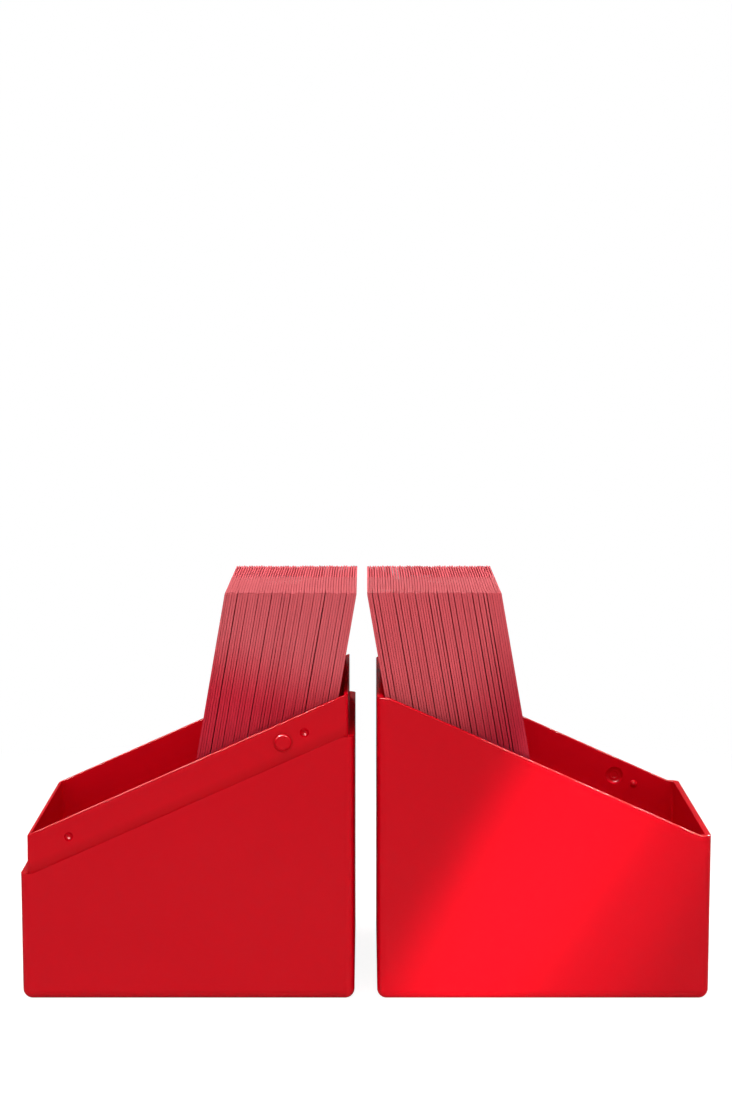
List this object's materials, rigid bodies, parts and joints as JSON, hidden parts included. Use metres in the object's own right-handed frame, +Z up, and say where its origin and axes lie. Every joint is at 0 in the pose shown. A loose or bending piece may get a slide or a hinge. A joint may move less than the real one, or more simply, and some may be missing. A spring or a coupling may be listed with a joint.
{
  "type": "deck case",
  "caption": "Two-part moulded case with a slanted joint, shown open as base and lid side by side, each holding a leaning pack of sleeved cards.",
  "frame": {"origin": "middle of the row of two open halves, on the surface they stand on", "axes": "+X from the base towards the lid, +Y from the near walls to the far walls, +Z up"},
  "size_m": [0.1562, 0.0776, 0.0921],
  "materials": {
    "red_plastic": "satin, smooth moulded",
    "red_sleeves": "thin satin film"
  },
  "bodies": {
    "base": {"base_shell": "red_plastic"},
    "lid": {"lid_shell": "red_plastic"},
    "base_pack": {"base_cards_01": "red_sleeves", "base_cards_02": "red_sleeves", "base_cards_03": "red_sleeves", "base_cards_04": "red_sleeves", "base_cards_05": "red_sleeves", "base_cards_06": "red_sleeves", "base_cards_07": "red_sleeves", "base_cards_08": "red_sleeves", "base_cards_09": "red_sleeves", "base_cards_10": "red_sleeves", "base_cards_11": "red_sleeves", "base_cards_12": "red_sleeves", "base_cards_13": "red_sleeves", "base_cards_14": "red_sleeves", "base_cards_15": "red_sleeves", "base_cards_16": "red_sleeves", "base_cards_17": "red_sleeves", "base_cards_18": "red_sleeves", "base_cards_19": "red_sleeves", "base_cards_20": "red_sleeves", "base_cards_21": "red_sleeves", "base_cards_22": "red_sleeves", "base_cards_23": "red_sleeves", "base_cards_24": "red_sleeves", "base_cards_25": "red_sleeves"},
    "lid_pack": {"lid_cards_01": "red_sleeves", "lid_cards_02": "red_sleeves", "lid_cards_03": "red_sleeves", "lid_cards_04": "red_sleeves", "lid_cards_05": "red_sleeves", "lid_cards_06": "red_sleeves", "lid_cards_07": "red_sleeves", "lid_cards_08": "red_sleeves", "lid_cards_09": "red_sleeves", "lid_cards_10": "red_sleeves", "lid_cards_11": "red_sleeves", "lid_cards_12": "red_sleeves", "lid_cards_13": "red_sleeves", "lid_cards_14": "red_sleeves", "lid_cards_15": "red_sleeves", "lid_cards_16": "red_sleeves", "lid_cards_17": "red_sleeves", "lid_cards_18": "red_sleeves", "lid_cards_19": "red_sleeves", "lid_cards_20": "red_sleeves", "lid_cards_21": "red_sleeves", "lid_cards_22": "red_sleeves", "lid_cards_23": "red_sleeves", "lid_cards_24": "red_sleeves", "lid_cards_25": "red_sleeves"}
  },
  "joints": [
    {"name": "lid_lift", "type": "slide", "parent": "base", "child": "lid", "axis": [0, 0, 1], "range_m": [0, 0.1]},
    {"name": "base_pack_lift", "type": "slide", "parent": "base", "child": "base_pack", "axis": [0, 0, 1], "range_m": [0, 0.1]},
    {"name": "lid_pack_lift", "type": "slide", "parent": "lid", "child": "lid_pack", "axis": [0, 0, 1], "range_m": [0, 0.1]}
  ]
}
